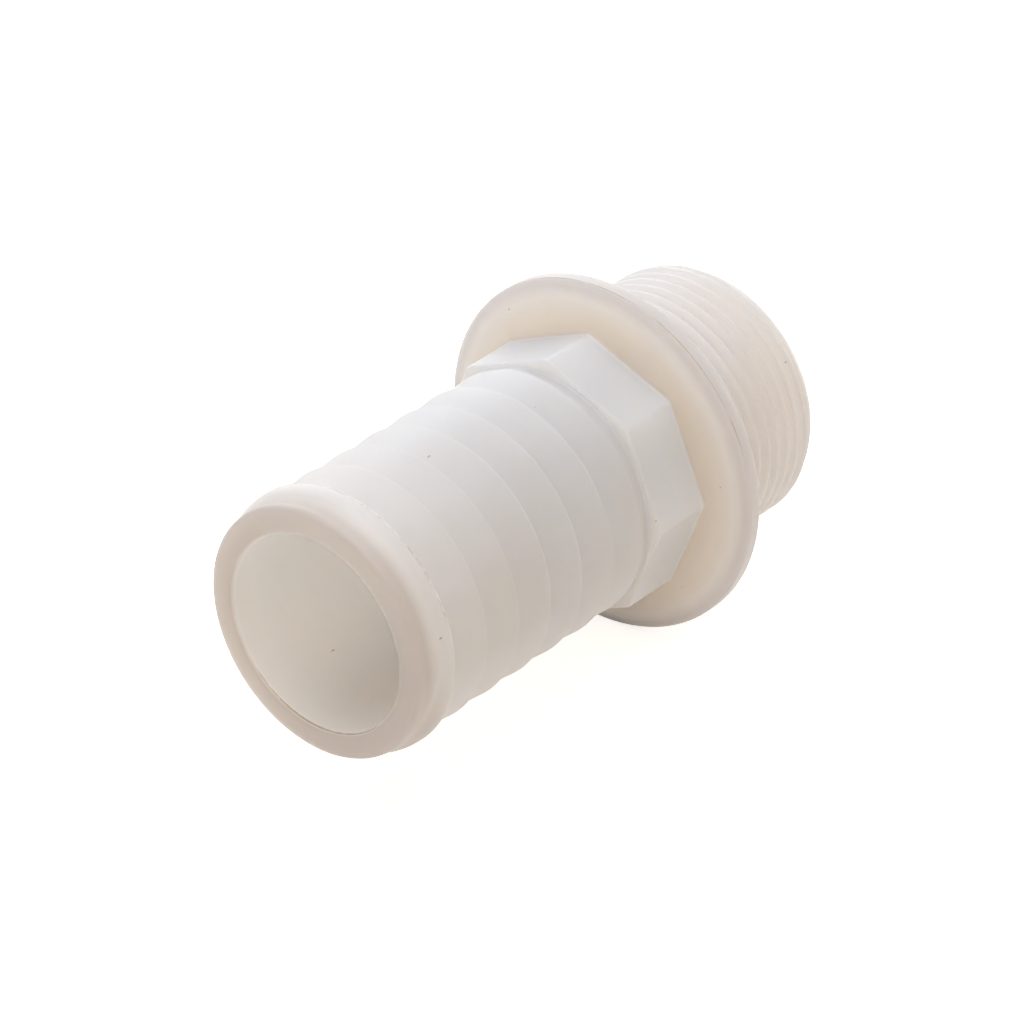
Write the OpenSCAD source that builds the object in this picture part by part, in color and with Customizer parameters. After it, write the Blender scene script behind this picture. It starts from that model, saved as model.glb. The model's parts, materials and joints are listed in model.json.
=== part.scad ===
// Thru hull fitting: one moulded body with a barbed hose tail, a wrench octagon,
// a flange and a threaded spigot, all round one straight water passage.
// Millimetres. The axis lies along X: the hose tail points to -X, the thread to +X.
// The origin is the centre of the flange's flat sealing face, on the axis.

/* [Water passage] */
// Diameter of the passage
bore_d = 31; // [20:0.5:33]
// Rounding of the passage's edge at the hose end
mouth_round = 1; // [0.4:0.1:1.5]
// Bevel of the passage's edge at the thread end
outlet_bevel = 0.6; // [0.2:0.1:1.2]

/* [Hose tail] */
// Length of the tail, from the octagon's front to the nose
tail_len = 52.2; // [48:0.2:80]
// Diameter of the front lip
lip_d = 39.2; // [38:0.1:40]
// Rounding of the front lip's outer edge
lip_round = 1.6; // [0.6:0.1:2.2]
// Diameter of the nose ridge, the widest place of the tail
nose_d = 41.4; // [40.4:0.1:44]
// Distance of the nose ridge from the front
nose_len = 6.5; // [4:0.1:8]
// Number of barbs behind the nose
barb_count = 6; // [2:1:6]
// Distance from one barb to the next
barb_pitch = 7.1; // [5:0.1:7.4]
// Diameter over the barbs
barb_d = 40.3; // [39.6:0.1:42]
// Diameter over the last barb, next to the neck
last_barb_d = 39.9; // [39.4:0.1:42]
// Diameter in the valleys between the barbs
valley_d = 38.9; // [37.6:0.1:39.2]
// Diameter of the neck between the last barb and the octagon
neck_d = 38.3; // [37.6:0.1:39.2]
// Width of the blunt crest of a ridge
crest_w = 0.6; // [0.2:0.1:1.2]

/* [Wrench octagon] */
// Width across the flats
across_flats = 39.8; // [39.6:0.1:46]
// Length from the front of the octagon to the flange's sealing face
octagon_len = 14.6; // [9:0.1:24]
// Bevel of the octagon's front corners
octagon_bevel = 0.6; // [0.2:0.1:1]

/* [Flange] */
// Diameter of the flange
flange_d = 57; // [52:0.5:80]
// Thickness of the flange at its rim
rim_t = 2.5; // [1.5:0.1:4]
// Thickness of the flange where it meets the octagon's corners
root_t = 4.5; // [4.1:0.1:7]
// Rounding of the rim's edges
rim_round = 0.6; // [0.2:0.1:0.7]

/* [Threaded spigot] */
// Length of the spigot beyond the flange
spigot_len = 24.6; // [14:0.2:40]
// Diameter over the thread's crests
thread_d = 41.91; // [39:0.01:46]
// Distance from one turn of the thread to the next
thread_pitch = 2.309; // [1.5:0.001:3]
// Depth of the thread
thread_depth = 1.479; // [0.8:0.001:1.7]
// Included angle between the thread's sides
thread_angle = 55; // [50:1:60]
// Plain length between the flange and the first turn
shank_len = 1.5; // [0.5:0.1:4]
// Length of the bevel at the spigot's end
end_bevel = 2.4; // [1:0.1:4]
// Diameter of the spigot's end, at the foot of the bevel
end_d = 38.8; // [37:0.1:38.9]

/* [Hidden] */

round_fn = 96;              // fineness of the round surfaces
arc_steps = 8;              // steps of a rounded edge
turn_steps = 36;            // steps of one turn of the thread groove
octagon_sides = 8;

bore_r = bore_d / 2;
lip_r = lip_d / 2;
nose_r = nose_d / 2;
barb_r = barb_d / 2;
last_barb_r = last_barb_d / 2;
valley_r = valley_d / 2;
neck_r = neck_d / 2;
flange_r = flange_d / 2;
crest_r = thread_d / 2;
end_r = end_d / 2;
corner_r = across_flats / 2 / cos(180 / octagon_sides);

octagon_z = -octagon_len;                // front of the octagon
nose_z = octagon_z - tail_len;           // front of the nose
ridge_z = nose_z + nose_len;             // nose ridge
function barb_z(i) = ridge_z + 0.4 + barb_pitch * (i + 1);

// The nose swells from the lip to its ridge on one arc, level with the axis at the ridge.
swell_rise = nose_r - lip_r;
swell_run = nose_len - lip_round - crest_w;
swell_angle = 2 * atan(swell_rise / swell_run);
swell_r = swell_run / sin(swell_angle);

// The groove's section: narrow at the root, and as wide at the crest as the angle gives.
groove_over = 0.12;                      // how far the groove's cutter stands out of the crests
groove_slope = tan(thread_angle / 2);
crest_flat = 0.12 * thread_pitch;        // width of the flat left on a crest
groove_crest_half = (thread_pitch - crest_flat) / 2;
groove_root_half = groove_crest_half - thread_depth * groove_slope;
groove_start = shank_len + groove_crest_half;
groove_fade = 0.35;                      // part of a turn in which the groove gets its full depth
groove_turns = (spigot_len - groove_start) / thread_pitch + 1;
groove_rings = ceil(groove_turns * turn_steps);

// Points of an arc in the plane of radius and axis
function arc_points(r, z, radius, from, to) =
  [for (k = [0 : arc_steps]) let (a = from + (to - from) * k / arc_steps)
    [r + radius * cos(a), z + radius * sin(a)]];

// One barb: a ramp up towards the flange, a blunt crest and a square step down
function barb_points(i) = let (
    last = i == barb_count - 1,
    crest = last ? last_barb_r : barb_r,
    foot = last ? neck_r : valley_r)
  [[crest, barb_z(i) - crest_w], [crest, barb_z(i)], [foot, barb_z(i)]];

function tail_points() = concat(
  [[0, nose_z]],
  arc_points(lip_r - lip_round, nose_z + lip_round, lip_round, -90, 0),
  arc_points(nose_r - swell_r, ridge_z - crest_w, swell_r, -swell_angle, 0),
  [[nose_r, ridge_z], [valley_r, ridge_z]],
  [for (i = [0 : barb_count - 1]) each barb_points(i)],
  [[neck_r, octagon_z + octagon_bevel], [0, octagon_z + octagon_bevel]]);

function flange_points() = concat(
  [[0, -root_t], [corner_r, -root_t]],
  arc_points(flange_r - rim_round, -rim_t + rim_round, rim_round, -75, 0),
  arc_points(flange_r - rim_round, -rim_round, rim_round, 0, 90),
  [[0, 0]]);

function octagon_points() =
  [[0, octagon_z], [corner_r - octagon_bevel, octagon_z],
   [corner_r + 0.2, octagon_z + octagon_bevel + 0.2],
   [corner_r + 0.2, -rim_t / 2], [0, -rim_t / 2]];

function spigot_points() =
  [[0, -rim_t / 2], [crest_r, -rim_t / 2], [crest_r, spigot_len - end_bevel],
   [end_r, spigot_len], [0, spigot_len]];

// One ring of the groove's cutter. The first rings only graze the shank, and the next ones
// sink to the full depth, so that the thread runs out before the flange.
function groove_ring(i) = let (
    turn = i / turn_steps,
    a = 360 * turn,
    z = groove_start + thread_pitch * turn,
    sink = min(1, 0.1 + 0.9 * turn / groove_fade),
    outer = crest_r + groove_over,
    inner = outer - sink * (thread_depth + groove_over),
    outer_half = groove_crest_half + groove_over * groove_slope,
    inner_half = outer_half - (outer - inner) * groove_slope)
  [[inner * cos(a), inner * sin(a), z - inner_half],
   [inner * cos(a), inner * sin(a), z + inner_half],
   [outer * cos(a), outer * sin(a), z + outer_half],
   [outer * cos(a), outer * sin(a), z - outer_half]];

// The two triangles that join corner k of ring i to the next ring
function groove_side(i, k) = let (m = (k + 1) % 4)
  [[4 * i + k, 4 * i + 4 + m, 4 * i + m], [4 * i + k, 4 * i + 4 + k, 4 * i + 4 + m]];

module thread_groove() {
  last = 4 * groove_rings;
  polyhedron(
    points = [for (i = [0 : groove_rings]) each groove_ring(i)],
    faces = concat(
      [[0, 1, 2, 3]],
      [for (i = [0 : groove_rings - 1]) for (k = [0 : 3]) each groove_side(i, k)],
      [[last + 3, last + 2, last + 1, last]]));
}

module hose_tail() rotate_extrude($fn = round_fn) polygon(tail_points());

module flange() rotate_extrude($fn = round_fn) polygon(flange_points());

module wrench_octagon() intersection() {
  translate([0, 0, octagon_z]) linear_extrude(octagon_len - rim_t / 2)
    circle(r = corner_r, $fn = octagon_sides);
  rotate_extrude($fn = round_fn) polygon(octagon_points());
}

module threaded_spigot() difference() {
  rotate_extrude($fn = round_fn) polygon(spigot_points());
  thread_groove();
}

module water_passage() {
  translate([0, 0, nose_z - 1]) cylinder(r = bore_r, h = spigot_len - nose_z + 2, $fn = round_fn);
  // rounded mouth at the hose end
  rotate_extrude($fn = round_fn) polygon(concat(
    [[0, nose_z - 1], [bore_r + mouth_round, nose_z - 1]],
    arc_points(bore_r + mouth_round, nose_z + mouth_round, mouth_round, 270, 190),
    [[0, nose_z + mouth_round]]));
  // bevelled outlet at the thread end
  translate([0, 0, spigot_len - outlet_bevel])
    cylinder(r1 = bore_r - 0.2, r2 = bore_r + outlet_bevel + 0.8, h = outlet_bevel + 0.8 + 0.2,
      $fn = round_fn);
}

module fitting_body() color("ivory") rotate([0, 90, 0]) difference() {
  union() {
    hose_tail();
    wrench_octagon();
    flange();
    threaded_spigot();
  }
  water_passage();
}

fitting_body();
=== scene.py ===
"""A moulded nylon thru hull fitting, dressed for its picture.

The fitting is one moulding. It is drawn here as one closed skin: an outline in the plane
of axis and radius, turned round the axis, with eight flats where the wrench grips and a
true helix on the spigot. Settings are in metres. The outline is worked out in millimetres.
"""

import json
import math

import bpy
import numpy as np
from mathutils import Matrix, Vector


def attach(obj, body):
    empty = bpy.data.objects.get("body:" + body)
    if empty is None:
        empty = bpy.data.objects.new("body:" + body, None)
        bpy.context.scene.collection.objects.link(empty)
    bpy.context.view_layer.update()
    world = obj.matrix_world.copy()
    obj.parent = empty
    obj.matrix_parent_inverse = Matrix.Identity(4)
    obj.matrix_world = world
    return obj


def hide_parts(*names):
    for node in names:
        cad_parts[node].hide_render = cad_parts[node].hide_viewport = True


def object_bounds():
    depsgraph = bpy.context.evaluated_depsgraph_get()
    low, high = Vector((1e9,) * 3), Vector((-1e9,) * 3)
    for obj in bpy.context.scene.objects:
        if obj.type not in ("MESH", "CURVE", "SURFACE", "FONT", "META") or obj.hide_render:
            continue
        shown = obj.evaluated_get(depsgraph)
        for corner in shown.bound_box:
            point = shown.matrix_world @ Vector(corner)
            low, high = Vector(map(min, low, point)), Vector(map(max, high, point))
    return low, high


bl_info = {
    "name": "Thru Hull Fitting",
    "version": (1, 0, 0),
    "blender": (4, 5, 0),
    "location": "View3D > Sidebar > Fitting",
    "description": "Builds a moulded nylon thru hull fitting and a plain studio round it",
    "category": "Object",
}

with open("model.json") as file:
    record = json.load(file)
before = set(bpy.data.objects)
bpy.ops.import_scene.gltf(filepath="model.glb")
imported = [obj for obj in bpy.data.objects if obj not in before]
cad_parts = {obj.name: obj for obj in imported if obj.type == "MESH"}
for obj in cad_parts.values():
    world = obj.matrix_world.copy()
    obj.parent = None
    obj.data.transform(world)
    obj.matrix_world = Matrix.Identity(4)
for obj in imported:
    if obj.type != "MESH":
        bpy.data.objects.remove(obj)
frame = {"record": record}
CAD_LOW, CAD_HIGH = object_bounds()
MOUNTS = {m["name"]: m for m in frame["record"]["mounts"]}

MM = 0.001                      # millimetres to metres
NODE = "fitting_body"

# The skin's grid
TURN_POINTS = 240               # points round the axis
CROWDING = 0.68                 # how strongly they crowd to the octagon's corners
EDGE_STEPS = 5                  # steps of an eased edge
ROWS_PER_CORNER = EDGE_STEPS + 3
EASE_SHARE = 0.42               # an ease takes at most this share of an edge
GUARD = 1.12                    # the row that holds the shading, in eases from the corner
BORE_ROWS = 14                  # rows of points along the passage

# The tail, in metres
STEP_LEAN = 0.22 * MM           # a barb's step leans by this much
CREST_EASE = 0.06 * MM
FOOT_EASE = 0.3 * MM

# The octagon
OCTAGON_SIDES = 8
CORNER_SHARPNESS = 150          # a higher power gives sharper corners

# The thread
ROWS_PER_PITCH = 16             # rows of points for one turn of the thread
GROOVE_HALF = 0.44              # half the groove's width at the crests, in pitches
FADE_TURNS = 0.35               # part of a turn in which the groove gets its full depth

# Settings of the two ways to join masks
PRODUCT = {"operation": "MULTIPLY"}
LARGEST = {"operation": "MAXIMUM"}

# The studio, in metres
LAMP_SIZE = 0.6
OVERHEAD_PLACE = (0.0, 0.0, 0.65)
BACK_PLACE = (0.4, 0.45, 0.3)
FLOOR_HALF = 6.0
FLOOR_GLOW = 0.72               # what lifts the lit floor to white in the picture
ROOM_SIDE = (-0.60, -0.80, 0.0)  # the side of the room that is bright
ROOM_FADE = 0.5                 # the room's light fades out over this much either way
SENSOR_MM = 36.0


def mount_radius(name):
    """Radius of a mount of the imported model, in metres."""
    return MOUNTS[name]["dims"]["r_mm"] * MM


def linear(hex_colour):
    """Linear RGB of an sRGB colour written as #RRGGBB."""
    parts = [int(hex_colour[i:i + 2], 16) / 255 for i in (1, 3, 5)]
    return [p / 12.92 if p <= 0.04045 else ((p + 0.055) / 1.055) ** 2.4 for p in parts]


# ---------------------------------------------------------------- sizes and colours


def length(name, description, default):
    """A size in metres that a user may change."""
    return bpy.props.FloatProperty(
        name=name, description=description, default=default, min=0.0,
        subtype="DISTANCE", unit="LENGTH", precision=5)


def colour(name, description, hex_colour):
    """A colour that a user may change."""
    return bpy.props.FloatVectorProperty(
        name=name, description=description, default=linear(hex_colour),
        subtype="COLOR", min=0.0, max=1.0)


def angle(name, description, degrees):
    """An angle that a user may change."""
    return bpy.props.FloatProperty(
        name=name, description=description, default=math.radians(degrees),
        subtype="ANGLE", unit="ROTATION")


def power(name, description, watts):
    """A lamp's power that a user may change."""
    return bpy.props.FloatProperty(
        name=name, description=description, default=watts, min=0.0,
        subtype="POWER", unit="POWER")


class FittingTail(bpy.types.PropertyGroup):
    """Sizes of the mouth, the nose and the barbed tail."""

    bore_r: length("Bore radius", "Radius of the water passage", mount_radius("water_passage"))
    mouth_ease: length("Mouth ease", "Easing of the passage's edge at the mouth", 1.0 * MM)
    lip_r: length("Lip radius", "Radius of the front lip", 19.6 * MM)
    lip_ease: length("Lip ease", "Easing of the lip's outer edge", 1.9 * MM)
    nose_r: length("Nose radius", "Radius of the nose ridge", 20.7 * MM)
    nose_len: length("Nose length", "From the front to the nose ridge", 6.5 * MM)
    valley_r: length("Valley radius", "Radius between the barbs", 19.45 * MM)
    neck_r: length("Neck radius", "Radius between the last barb and the octagon", 19.3 * MM)
    barb_r: length("Barb radius", "Radius over the barbs", mount_radius("hose_tail"))
    last_barb_r: length("Last barb radius", "Radius over the barb at the neck", 19.95 * MM)
    barb_pitch: length("Barb pitch", "From one barb to the next", 7.1 * MM)
    first_gap: length("First gap", "Extra length before the first barb", 0.4 * MM)
    barb_count: bpy.props.IntProperty(
        name="Barbs", description="Number of barbs behind the nose", default=6, min=1, max=8)


class FittingMiddle(bpy.types.PropertyGroup):
    """Sizes of the wrench octagon and the flange."""

    octagon_len: length("Octagon front", "From the sealing face to the octagon's front", 14.6 * MM)
    flat_r: length("Flat radius", "Half the width across the flats", mount_radius("wrench_octagon"))
    octagon_ease: length("Octagon ease", "Easing of the octagon's front edge", 0.35 * MM)
    root_t: length("Flange root", "Thickness of the flange at the octagon's corners", 4.5 * MM)
    root_ease: length("Flange root ease", "Easing between the octagon and the flange", 0.6 * MM)
    rim_t: length("Rim thickness", "Thickness of the flange at its rim", 2.5 * MM)
    rim_ease: length("Rim ease", "Easing of the rim's edges", 0.55 * MM)
    flange_r: length("Flange radius", "Radius of the flange", CAD_HIGH.z)


class FittingSpigot(bpy.types.PropertyGroup):
    """Sizes of the threaded spigot."""

    crest_r: length("Crest radius", "Radius over the thread's crests",
                    mount_radius("threaded_spigot"))
    pitch: length("Pitch", "From one turn of the thread to the next", 2.309 * MM)
    depth: length("Depth", "Depth of the thread", 1.479 * MM)
    shank_len: length("Shank", "Plain length behind the flange", 1.5 * MM)
    end_bevel: length("End bevel", "Length of the bevel at the spigot's end", 2.4 * MM)
    end_r: length("End radius", "Radius at the foot of the end bevel", 19.4 * MM)
    outlet_bevel: length("Outlet bevel", "Bevel of the passage's edge at the outlet", 0.6 * MM)
    side_angle: angle("Thread angle", "Angle between the thread's sides", 55)


class FittingFinish(bpy.types.PropertyGroup):
    """Colours of the moulded nylon."""

    body: colour("Nylon", "Undyed nylon", "#E9E5E5")
    # the warm colour also darkens the flange's front face: painted shade
    warm: colour("Warm nylon", "Undyed nylon with a little yellowing, and painted shade on the flange's front face", "#DACDC5")
    # painted light: the passage and the octagon are drawn lighter
    inside: colour("Inside", "Nylon lightened as painted light in the passage and on the octagon", "#FFFFFD")
    # painted shade: the lip and the nose's lower side are drawn darker
    nose_shade: colour("Shaded nose", "Nylon darkened as painted shade on the lip and under the nose", "#B8B2B3")
    # painted shade: the flange's rim is drawn darker
    rim: colour("Rim", "Nylon darkened as painted shade at the flange's rim", "#AEADB6")
    dirt: colour("Dirt", "Dirt caught in the moulding's marks and scratches", "#7E776E")
    see_depth: length("Light depth", "How far light travels inside the nylon", 42.0 * MM)


class FittingStudio(bpy.types.PropertyGroup):
    """The camera, the lamps and the floor."""

    azimuth: angle("Azimuth", "Camera's way round the fitting", -49.80)
    elevation: angle("Elevation", "Camera's height as an angle", 30.56)
    roll: angle("Roll", "Turn of the camera about its own axis", -1.30)
    distance: length("Distance", "From the camera to the aim point", 726.4 * MM)
    aim: bpy.props.FloatVectorProperty(
        name="Aim point", description="Point in the middle of the picture",
        default=(-13.08 * MM, 8.25 * MM, -7.92 * MM), subtype="TRANSLATION", unit="LENGTH")
    focal_mm: bpy.props.FloatProperty(
        name="Focal length", description="For a picture 36 mm wide", default=170.2,
        subtype="DISTANCE_CAMERA", unit="CAMERA")
    key_power: power("Overhead softbox", "Power of the softbox over the fitting", 3.2)
    back_power: power("Back softbox", "Power of the softbox behind the fitting", 1.95)
    world_level: bpy.props.FloatProperty(
        name="Room light", description="Strength of the light from the bright side of the room",
        default=0.69, min=0.0, subtype="FACTOR")
    floor: colour("Floor", "Pale floor", "#F4F1EC")
    room: colour("Room", "Colour of the light from the room", "#FFE8CC")
    sky: colour("Overhead", "Colour of the overhead softbox", "#EBF1FB")
    back: colour("Back", "Colour of the softbox behind the fitting", "#FFFFFF")


# ---------------------------------------------------------------- outline


def eased(corners):
    """Points of an outline whose corners are eased, each (x, r, ease), for all turns at once.

    x, r and ease are arrays over the turn. Each corner becomes a short parabola, with one
    more point on either side so that the shading turns only there.
    """
    place = np.array([[c[0], c[1]] for c in corners])
    ease = np.array([c[2] for c in corners])
    to_last = np.roll(place, 1, axis=0) - place
    to_next = np.roll(place, -1, axis=0) - place
    reach = np.sqrt(np.minimum((to_last ** 2).sum(1), (to_next ** 2).sum(1)))
    ease = np.minimum(ease, EASE_SHARE * reach)[:, None]
    last_way = to_last / np.sqrt((to_last ** 2).sum(1))[:, None]
    next_way = to_next / np.sqrt((to_next ** 2).sum(1))[:, None]
    start, end = place + ease * last_way, place + ease * next_way
    rows = [place + GUARD * ease * last_way]
    for k in range(EDGE_STEPS + 1):
        t = k / EDGE_STEPS
        rows.append((1 - t) ** 2 * start + 2 * t * (1 - t) * place + t ** 2 * end)
    rows.append(place + GUARD * ease * next_way)
    rows = np.array(rows)                       # step, corner, (x, r), turn
    return rows.transpose(1, 0, 2, 3).reshape(-1, 2, place.shape[-1])


def turns():
    """Angles round the axis, up first, closer together at the octagon's corners."""
    even = np.arange(TURN_POINTS) * 2 * math.pi / TURN_POINTS
    return even - CROWDING / OCTAGON_SIDES * np.sin(OCTAGON_SIDES * even)


def octagon_radius(turn, flat_r):
    """Radius of an octagon with a corner at the top, its corners a little rounded."""
    flats = (np.arange(OCTAGON_SIDES) + 0.5) * 2 * math.pi / OCTAGON_SIDES
    near = np.maximum(np.cos(turn[None] - flats[:, None]), 0.0)
    return flat_r * (near ** CORNER_SHARPNESS).sum(0) ** (-1 / CORNER_SHARPNESS)


def corner_rows(turn, *corners):
    """Corners (x, r, ease) as arrays over the turn, in millimetres."""
    one = np.ones_like(turn)
    return [[x / MM * one, r / MM * one, e / MM * one] for x, r, e in corners]


def tail_corners(turn, tail, front_x):
    """From inside the mouth, over the lip and the nose ridge, along the barbs to the neck."""
    ridge_x = front_x + tail.nose_len
    out = corner_rows(
        turn,
        (front_x, tail.bore_r, tail.mouth_ease),
        (front_x, tail.lip_r, tail.lip_ease),
        (front_x + 2.4 * MM, tail.lip_r + 0.2 * MM, 1.1 * MM),     # the lip's soft kink
        (ridge_x - 1.9 * MM, tail.nose_r - 0.06 * MM, 1.6 * MM),   # the swell levels out
        (ridge_x, tail.nose_r, STEP_LEAN),
        (ridge_x + STEP_LEAN, tail.valley_r, FOOT_EASE))
    for i in range(tail.barb_count):
        crest_x = ridge_x + tail.first_gap + tail.barb_pitch * (i + 1)
        last = i == tail.barb_count - 1
        crest_r = tail.last_barb_r if last else tail.barb_r
        foot_r = tail.neck_r if last else tail.valley_r
        out += corner_rows(
            turn, (crest_x, crest_r, CREST_EASE), (crest_x + STEP_LEAN, foot_r, FOOT_EASE))
    return out


def middle_corners(turn, middle, tail):
    """Octagon and flange, as far as the flange's sealing face."""
    flat = octagon_radius(turn, middle.flat_r)
    front_x = -middle.octagon_len
    return corner_rows(
        turn,
        (front_x, tail.neck_r, 0.6 * MM),
        (front_x, flat, middle.octagon_ease),
        (-middle.root_t, flat, middle.root_ease),
        (-middle.rim_t, middle.flange_r - 0.25 * MM, middle.rim_ease),
        (-middle.rim_t + 0.3 * MM, middle.flange_r, middle.rim_ease),
        (0.0, middle.flange_r, middle.rim_ease))


def thread_rows(turn, spigot, end_x):
    """Rows of (x, r) from the sealing face to the spigot's end, with a right-hand helix."""
    count = int((end_x / spigot.pitch) * ROWS_PER_PITCH)
    x = np.linspace(0.0, end_x, count)[:, None] / MM
    pitch, depth, crest = spigot.pitch / MM, spigot.depth / MM, spigot.crest_r / MM
    slope = math.tan(spigot.side_angle / 2)
    half = GROOVE_HALF * pitch
    start = spigot.shank_len / MM + half
    part = (0.5 - turn / (2 * math.pi)) % 1.0   # the helix's part of a turn
    groove = np.round((x - start) / pitch - part) + part
    away = np.abs(x - start - groove * pitch)
    sink = np.clip(groove / FADE_TURNS, 0.0, 1.0) * depth
    cut = np.clip((half - away) / slope, 0.0, sink)
    radius = crest - softened(cut, sink)
    bevel = spigot.end_bevel / MM
    end_r = spigot.end_r / MM
    cone = end_r + (end_x / MM - x) * (crest - end_r) / bevel
    return np.stack([x * np.ones_like(radius), np.minimum(radius, cone)], axis=1)


def softened(cut, sink):
    """The cut of a groove with its crests and roots rounded."""
    part = np.where(sink > 0, cut / np.maximum(sink, 1e-9), 0.0)
    return part * part * (3 - 2 * part) * sink


def outline(fitting):
    """All rows of the skin, (row, (x, r), turn), in millimetres, once round the section."""
    turn = turns()
    tail, middle, spigot = fitting.tail, fitting.middle, fitting.spigot
    front_x, end_x = CAD_LOW.x, CAD_HIGH.x
    # the first and the last corner only give the skin its way in and out
    hose_side = eased(
        corner_rows(turn, (front_x + 6 * MM, tail.bore_r, 0.0))
        + tail_corners(turn, tail, front_x)
        + middle_corners(turn, middle, tail)
        + corner_rows(turn, (0.0, spigot.crest_r, 0.0)))
    hose_side = hose_side[ROWS_PER_CORNER:-ROWS_PER_CORNER]
    thread = thread_rows(turn, spigot, end_x)
    edge_r = tail.bore_r + spigot.outlet_bevel
    bore_x = np.linspace(end_x - spigot.outlet_bevel, front_x + 3 * MM, BORE_ROWS)
    inside = corner_rows(turn, (end_x, edge_r, 0.0), *[(x, tail.bore_r, 0.0) for x in bore_x])
    inside = np.array([[x, r] for x, r, _ in inside])
    return turn, np.concatenate([hose_side, thread, inside])


def skin(name, turn, rows):
    """A closed mesh of quads from the rows of an outline."""
    x, r = rows[:, 0] * MM, rows[:, 1] * MM
    points = np.stack([x, r * np.sin(turn), r * np.cos(turn)], axis=-1).reshape(-1, 3)
    count, around = x.shape
    row, col = np.meshgrid(np.arange(count), np.arange(around), indexing="ij")
    next_row, next_col = (row + 1) % count, (col + 1) % around
    quads = np.stack([row * around + col, row * around + next_col,
                      next_row * around + next_col, next_row * around + col], axis=-1)
    mesh = bpy.data.meshes.new(name)
    mesh.from_pydata(points.tolist(), [], quads.reshape(-1, 4).tolist())
    mesh.validate()
    mesh.shade_smooth()
    piece = bpy.data.objects.new(name, mesh)
    bpy.context.collection.objects.link(piece)
    return piece


# ---------------------------------------------------------------- materials


def add_node(tree, kind, settings=None, links=None):
    """Add a node of a kind, set its values and sockets, and link what feeds it.

    What feeds it is a socket, or a node for that node's first output.
    """
    node = tree.nodes.new(kind)
    for key, value in (settings or {}).items():
        if isinstance(key, int) or key in node.inputs:
            node.inputs[key].default_value = value
        else:
            setattr(node, key, value)
    for key, source in (links or {}).items():
        socket = source.outputs[0] if isinstance(source, bpy.types.Node) else source
        tree.links.new(socket, node.inputs[key])
    return node


def per_mm(size_mm):
    """Scale of a pattern in object coordinates for a feature of this size."""
    return 1 / (size_mm * MM)


def rise(start, end):
    """Settings of a smooth rise from 0 at the start of a range to 1 at its end."""
    return {"interpolation_type": "SMOOTHSTEP", "From Min": start, "From Max": end}


def parting_marks(tree, place, split, radius, fitting):
    """Broken dark lines where the mould's halves met: nose ridge, flange rim and mouth."""
    tail = fitting.tail
    ridge_x = CAD_LOW.x + tail.nose_len
    rim_x = -fitting.middle.rim_t + 0.3 * MM
    # place and half width along the axis, heights of its faint end and of its full
    # strength, and the limit that keeps it on its own wall
    lines = (
        (ridge_x - 0.15 * MM, 0.24 * MM, 5.0 * MM, 9.0 * MM, "GREATER_THAN", tail.valley_r),
        (rim_x, 0.09 * MM, 6.0 * MM, 14.0 * MM, "GREATER_THAN", tail.valley_r),
        (CAD_LOW.x + 0.42 * MM, 0.12 * MM, -10.0 * MM, -12.0 * MM,
         "LESS_THAN", tail.bore_r + 1.2 * MM),
    )
    marks = None
    for line_x, half_width, faint, full, side, limit in lines:
        line = add_node(tree, "ShaderNodeMath", {
            "operation": "COMPARE", 1: line_x, 2: half_width}, {0: split.outputs["X"]})
        height = add_node(tree, "ShaderNodeMapRange", rise(faint, full), {0: split.outputs["Z"]})
        wall = add_node(tree, "ShaderNodeMath", {"operation": side, 1: limit}, {0: radius})
        here = add_node(tree, "ShaderNodeMath", PRODUCT, {0: height, 1: wall})
        mark = add_node(tree, "ShaderNodeMath", PRODUCT, {0: line, 1: here})
        marks = add_node(tree, "ShaderNodeMath", LARGEST, {0: marks, 1: mark}) if marks else mark
    # the lines come and go over a few millimetres
    broken = add_node(tree, "ShaderNodeTexNoise", {
        "Scale": per_mm(6.0), "Detail": 4.0, "Roughness": 0.65}, {"Vector": place})
    gaps = add_node(tree, "ShaderNodeMapRange", {"From Min": 0.38, "From Max": 0.56}, {0: broken})
    return add_node(tree, "ShaderNodeMath", PRODUCT, {0: marks, 1: gaps})


def specks(tree, place, cell_mm, size_mm, share):
    """Short dark streaks in some cells of a scattered pattern."""
    ragged = add_node(tree, "ShaderNodeTexNoise", {
        "Scale": per_mm(0.5), "Detail": 2.0}, {"Vector": place})
    moved = add_node(tree, "ShaderNodeVectorMath", {
        "operation": "MULTIPLY_ADD", 1: (0.4 * MM, 0.4 * MM, 0.4 * MM)},
        {0: ragged.outputs["Color"], 2: place})
    # slanted and drawn out, so that a speck is a short streak
    slanted = add_node(tree, "ShaderNodeMapping", {
        "Rotation": (0.4, 0.9, 0.2), "Scale": (0.45, 1.0, 1.0)}, {"Vector": moved})
    cells = add_node(tree, "ShaderNodeTexVoronoi", {
        "Scale": per_mm(cell_mm), "Randomness": 1.0}, {"Vector": slanted})
    dot = add_node(tree, "ShaderNodeMapRange", {
        "From Min": size_mm / cell_mm, "From Max": 0.5 * size_mm / cell_mm},
        {0: cells.outputs["Distance"]})
    pick = add_node(tree, "ShaderNodeSeparateColor", links={0: cells.outputs["Color"]})
    some = add_node(tree, "ShaderNodeMath", {"operation": "GREATER_THAN", 1: 1 - share}, {0: pick})
    return add_node(tree, "ShaderNodeMath", PRODUCT, {0: dot, 1: some})


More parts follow.
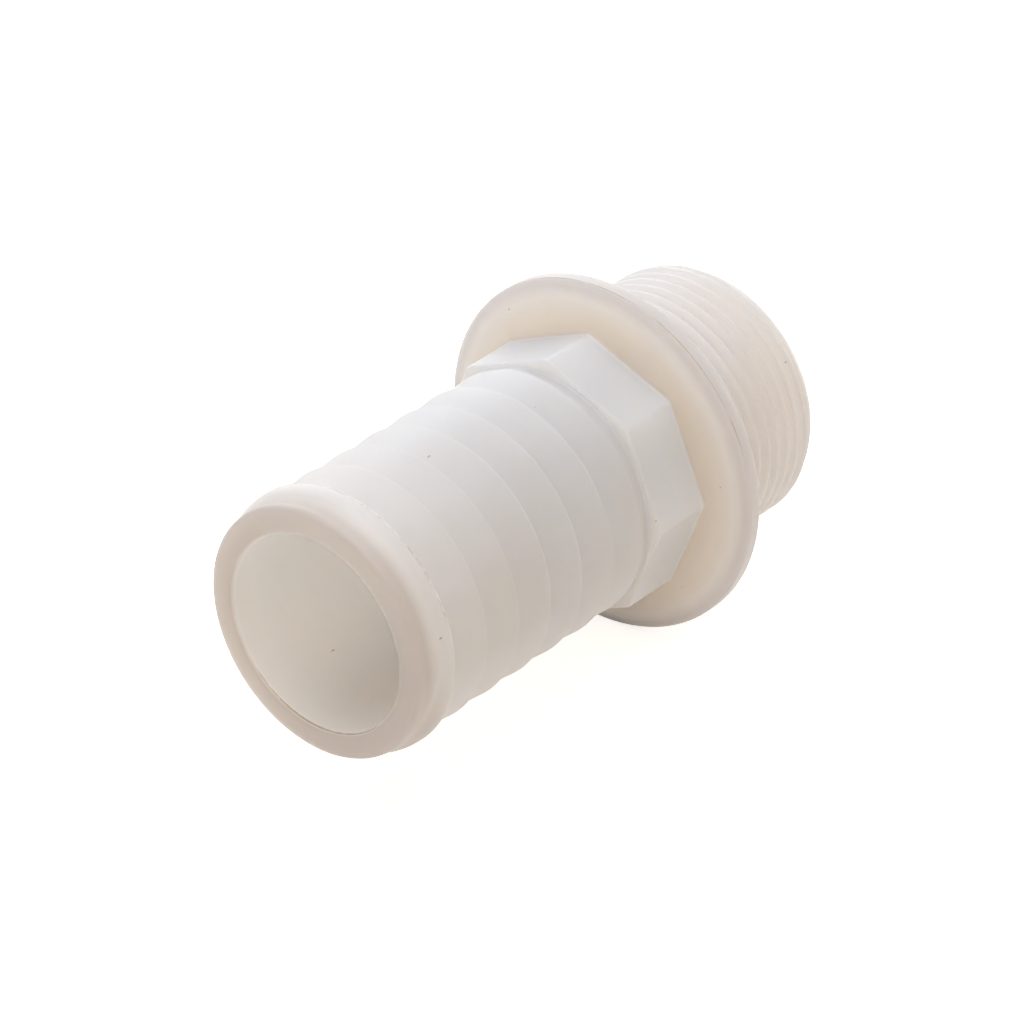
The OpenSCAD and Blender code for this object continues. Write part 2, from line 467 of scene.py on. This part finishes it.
def nylon_zones(tree, along, up, radius, fitting):
    """Masks of painted light in the passage and octagon, and painted shade on flange face, rim, lip
    and nose.
    """
    tail, middle = fitting.tail, fitting.middle
    ridge_x = CAD_LOW.x + tail.nose_len
    front_x, root_x = -middle.octagon_len, -middle.root_t
    # each zone is where all of its rises overlap: (value, start, end)
    zones = {
        # lip and under: painted shade on the lip's front and on the nose's lower side
        "lip": [(along, CAD_LOW.x + 4.0 * MM, CAD_LOW.x + 1.5 * MM)],
        "under": [(along, ridge_x + 1.0 * MM, ridge_x - 1.0 * MM), (up, 2.0 * MM, -12.0 * MM)],
        "wall": [(radius, tail.bore_r, tail.bore_r + 0.5 * MM)],
        # rim: painted shade
        "rim": [(radius, middle.flange_r - 3.0 * MM, middle.flange_r - 0.8 * MM)],
        # plate: the flange's front face, given the warm colour as painted shade
        "plate": [(along, root_x - 0.4 * MM, root_x), (along, 0.3 * MM, 0.0),
                  (radius, middle.flange_r - 0.5 * MM, fitting.spigot.crest_r + 2.5 * MM)],
        # passage and octagon: painted light
        "passage": [(radius, tail.bore_r + 0.2 * MM, tail.bore_r + 0.05 * MM)],
        "octagon": [(along, front_x - 1.0 * MM, front_x), (along, root_x, root_x - 0.4 * MM)],
    }
    masks = {}
    for name, rises in zones.items():
        mask = None
        for value, start, end in rises:
            side = add_node(tree, "ShaderNodeMapRange", rise(start, end), {0: value})
            mask = add_node(tree, "ShaderNodeMath", PRODUCT, {0: mask, 1: side}) if mask else side
        masks[name] = mask
    nose = add_node(tree, "ShaderNodeMath", LARGEST, {0: masks["lip"], 1: masks["under"]})
    return {
        # the flange's front face: painted shade in the warm colour
        "warm": masks["plate"],
        "painted_light": add_node(tree, "ShaderNodeMath", LARGEST,
                          {0: masks["passage"], 1: masks["octagon"]}),
        "rim_shade": masks["rim"],
        "shaded": add_node(tree, "ShaderNodeMath", PRODUCT, {0: nose, 1: masks["wall"]}),
    }


def moulded_natural_nylon(fitting):
    """Undyed nylon, injection moulded.

    Light goes in, spreads and comes out again, so the fitting looks milky and its shadows
    glow. The mould leaves an even satin skin and fine lines where its halves met.
    """
    finish = fitting.finish
    material = bpy.data.materials.new("moulded_natural_nylon")
    material.use_nodes = True
    tree = material.node_tree
    tree.nodes.clear()
    place = add_node(tree, "ShaderNodeTexCoord").outputs["Object"]
    split = add_node(tree, "ShaderNodeSeparateXYZ", links={0: place})
    across = add_node(tree, "ShaderNodeCombineXYZ", links={
        1: split.outputs["Y"], 2: split.outputs["Z"]})
    radius = add_node(tree, "ShaderNodeVectorMath", {"operation": "LENGTH"},
                      {0: across}).outputs["Value"]
    zones = nylon_zones(tree, split.outputs["X"], split.outputs["Z"], radius, fitting)

    # wide, weak patches of yellowing, about 22 mm across
    cloud = add_node(tree, "ShaderNodeTexNoise", {
        "Scale": per_mm(22.0), "Detail": 2.0, "Roughness": 0.5}, {"Vector": place})
    patches = add_node(tree, "ShaderNodeMapRange", rise(0.35, 0.65), {0: cloud})
    weak = add_node(tree, "ShaderNodeMath", {"operation": "MULTIPLY", 1: 0.35}, {0: patches})
    # the flange's front face gets the warm colour too, as painted shade
    yellowing_and_flange_shade = add_node(tree, "ShaderNodeMath", LARGEST, {0: weak, 1: zones["warm"]})

    marks = add_node(tree, "ShaderNodeMath", LARGEST, {
        0: parting_marks(tree, place, split, radius, fitting),
        1: specks(tree, place, cell_mm=4.5, size_mm=0.2, share=0.5)})
    dirt = add_node(tree, "ShaderNodeMath", {"operation": "MULTIPLY", 1: 0.75}, {0: marks})

    base = add_node(tree, "ShaderNodeMix", {
        "data_type": "RGBA", 6: (*finish.body, 1), 7: (*finish.warm, 1)}, {0: yellowing_and_flange_shade})
    # then painted light in the passage and on the octagon, painted shade at the rim, on the lip and
    # under the nose, and real dirt
    for amount, over in ((zones["painted_light"], finish.inside), (zones["rim_shade"], finish.rim),
                         (zones["shaded"], finish.nose_shade), (dirt, finish.dirt)):
        base = add_node(tree, "ShaderNodeMix", {"data_type": "RGBA", 7: (*over, 1)},
                        {0: amount, 6: base.outputs[2]})

    # the mould's satin grain: about 0.1 mm when real, drawn as 1.4 mm so that a picture
    # of this size can show it
    grain = add_node(tree, "ShaderNodeTexNoise", {
        "Scale": per_mm(1.4), "Detail": 4.0, "Roughness": 0.6}, {"Vector": place})
    rough = add_node(tree, "ShaderNodeMapRange", {"To Min": 0.36, "To Max": 0.5}, {0: grain})
    bump = add_node(tree, "ShaderNodeBump", {"Strength": 0.12, "Distance": 0.05 * MM},
                    {"Height": grain})
    nylon = add_node(tree, "ShaderNodeBsdfPrincipled", {
        "IOR": 1.53,
        "Subsurface Weight": 1.0,
        "Subsurface Radius": (1.0, 0.82, 0.62),
        "Subsurface Scale": finish.see_depth,
    }, {"Base Color": base.outputs[2], "Roughness": rough, "Normal": bump})
    add_node(tree, "ShaderNodeOutputMaterial", links={"Surface": nylon})
    return material


def looked_at(tree):
    """1 for what the camera sees, straight or in a gloss or through glass."""
    rays = add_node(tree, "ShaderNodeLightPath").outputs
    seen = add_node(tree, "ShaderNodeMath", LARGEST, {
        0: rays["Is Camera Ray"], 1: rays["Is Glossy Ray"]})
    return add_node(tree, "ShaderNodeMath", LARGEST, {
        0: seen, 1: rays["Is Transmission Ray"]})


def painted_studio_board(studio):
    """Board with matt white paint.

    It gives the eye an even white ground without a gloss. The camera sees it near white,
    and the fitting's shadow stays on it.
    """
    material = bpy.data.materials.new("painted_studio_board")
    material.use_nodes = True
    tree = material.node_tree
    tree.nodes.clear()
    board = add_node(tree, "ShaderNodeBsdfDiffuse", {"Color": (*studio.floor, 1)})
    white = add_node(tree, "ShaderNodeEmission", {"Color": (1, 1, 1, 1), "Strength": FLOOR_GLOW})
    lit = add_node(tree, "ShaderNodeAddShader", links={0: board, 1: white})
    seen = add_node(tree, "ShaderNodeMixShader", links={0: looked_at(tree), 1: board, 2: lit})
    add_node(tree, "ShaderNodeOutputMaterial", links={"Surface": seen})
    return material


# ---------------------------------------------------------------- operators


class FITTING_OT_body(bpy.types.Operator):
    """Build the moulding: tail, octagon, flange and threaded spigot in one skin"""

    bl_idname = "fitting.body"
    bl_label = "Moulded body"

    def execute(self, context):
        fitting = context.scene.fitting
        piece = skin("fitting_moulding", *outline(fitting))
        piece.data.materials.append(moulded_natural_nylon(fitting))
        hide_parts(NODE)
        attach(piece, "root")
        return {"FINISHED"}


class FITTING_OT_stage(bpy.types.Operator):
    """Lay the pale floor, light it softly and set the camera"""

    bl_idname = "fitting.stage"
    bl_label = "Studio"

    def execute(self, context):
        studio = context.scene.fitting.studio
        self.floor(studio)
        self.softbox("overhead_softbox", OVERHEAD_PLACE, studio.key_power, studio.sky)
        self.softbox("back_softbox", BACK_PLACE, studio.back_power, studio.back)
        self.room(context.scene, studio)
        self.camera(context.scene, studio)
        return {"FINISHED"}

    def floor(self, studio):
        level = CAD_LOW.z
        mesh = bpy.data.meshes.new("studio_floor")
        corners = [(-FLOOR_HALF, -FLOOR_HALF, level), (FLOOR_HALF, -FLOOR_HALF, level),
                   (FLOOR_HALF, FLOOR_HALF, level), (-FLOOR_HALF, FLOOR_HALF, level)]
        mesh.from_pydata(corners, [], [(0, 1, 2, 3)])
        floor = bpy.data.objects.new("studio_floor", mesh)
        bpy.context.collection.objects.link(floor)
        floor.data.materials.append(painted_studio_board(studio))

    def softbox(self, name, place, watts, tint):
        light = bpy.data.lights.new(name, "AREA")
        light.shape = "SQUARE"
        light.size = LAMP_SIZE
        light.energy = watts
        light.color = tint
        lamp = bpy.data.objects.new(name, light)
        lamp.location = place
        lamp.rotation_euler = (-Vector(place)).to_track_quat("-Z", "Y").to_euler()
        bpy.context.collection.objects.link(lamp)

    def room(self, scene, studio):
        """A room whose one side is lit. The camera sees it white."""
        world = bpy.data.worlds.new("studio_room")
        world.use_nodes = True
        tree = world.node_tree
        tree.nodes.clear()
        way = add_node(tree, "ShaderNodeTexCoord").outputs["Generated"]
        front = add_node(tree, "ShaderNodeVectorMath", {
            "operation": "DOT_PRODUCT", 1: ROOM_SIDE}, {0: way}).outputs["Value"]
        level = add_node(tree, "ShaderNodeMapRange", {
            "From Min": -ROOM_FADE, "From Max": ROOM_FADE, "To Max": studio.world_level},
            {0: front})
        room = add_node(tree, "ShaderNodeBackground", {"Color": (*studio.room, 1)},
                        {"Strength": level})
        white = add_node(tree, "ShaderNodeBackground", {"Color": (1, 1, 1, 1), "Strength": 1.0})
        seen = add_node(tree, "ShaderNodeMixShader", links={0: looked_at(tree), 1: room, 2: white})
        add_node(tree, "ShaderNodeOutputWorld", links={"Surface": seen})
        scene.world = world

    def camera(self, scene, studio):
        data = bpy.data.cameras.new("picture_camera")
        data.sensor_width = SENSOR_MM
        data.lens = studio.focal_mm
        data.clip_start, data.clip_end = 0.01, 20.0
        camera = bpy.data.objects.new("picture_camera", data)
        a, e = studio.azimuth, studio.elevation
        back = Vector((math.sin(a) * math.cos(e), -math.cos(a) * math.cos(e), math.sin(e)))
        turn = (-back).to_track_quat("-Z", "Y").to_matrix().to_4x4()
        place = Matrix.Translation(Vector(studio.aim) + back * studio.distance)
        camera.matrix_world = place @ turn @ Matrix.Rotation(studio.roll, 4, "Z")
        bpy.context.collection.objects.link(camera)
        scene.camera = camera
        scene.view_settings.view_transform = "Standard"


# ---------------------------------------------------------------- panel and settings


class FittingSettings(bpy.types.PropertyGroup):
    """All the settings of the fitting and its studio."""

    tail: bpy.props.PointerProperty(name="Tail", description="Hose tail", type=FittingTail)
    middle: bpy.props.PointerProperty(
        name="Middle", description="Octagon and flange", type=FittingMiddle)
    spigot: bpy.props.PointerProperty(
        name="Spigot", description="Threaded spigot", type=FittingSpigot)
    finish: bpy.props.PointerProperty(name="Finish", description="Colours", type=FittingFinish)
    studio: bpy.props.PointerProperty(
        name="Studio", description="Camera, lamps and floor", type=FittingStudio)


class FITTING_PT_panel(bpy.types.Panel):
    """Sizes, colours and buttons of the fitting"""

    bl_idname = "FITTING_PT_panel"
    bl_label = "Thru Hull Fitting"
    bl_space_type = "VIEW_3D"
    bl_region_type = "UI"
    bl_category = "Fitting"

    def draw(self, context):
        fitting = context.scene.fitting
        for group in (fitting.tail, fitting.middle, fitting.spigot, fitting.finish):
            box = self.layout.box()
            for key in group.__annotations__:
                box.prop(group, key)
        self.layout.operator(FITTING_OT_body.bl_idname)
        box = self.layout.box()
        for key in fitting.studio.__annotations__:
            box.prop(fitting.studio, key)
        self.layout.operator(FITTING_OT_stage.bl_idname)


CLASSES = (
    FittingTail, FittingMiddle, FittingSpigot, FittingFinish, FittingStudio, FittingSettings,
    FITTING_OT_body, FITTING_OT_stage, FITTING_PT_panel,
)


def register():
    for one in CLASSES:
        bpy.utils.register_class(one)
    bpy.types.Scene.fitting = bpy.props.PointerProperty(
        name="Fitting", description="Settings of the fitting", type=FittingSettings)


def unregister():
    del bpy.types.Scene.fitting
    for one in reversed(CLASSES):
        bpy.utils.unregister_class(one)


def main():
    """Build the fitting and its studio."""
    register()
    bpy.ops.fitting.body()
    bpy.ops.fitting.stage()


if __name__ == "__main__":
    main()
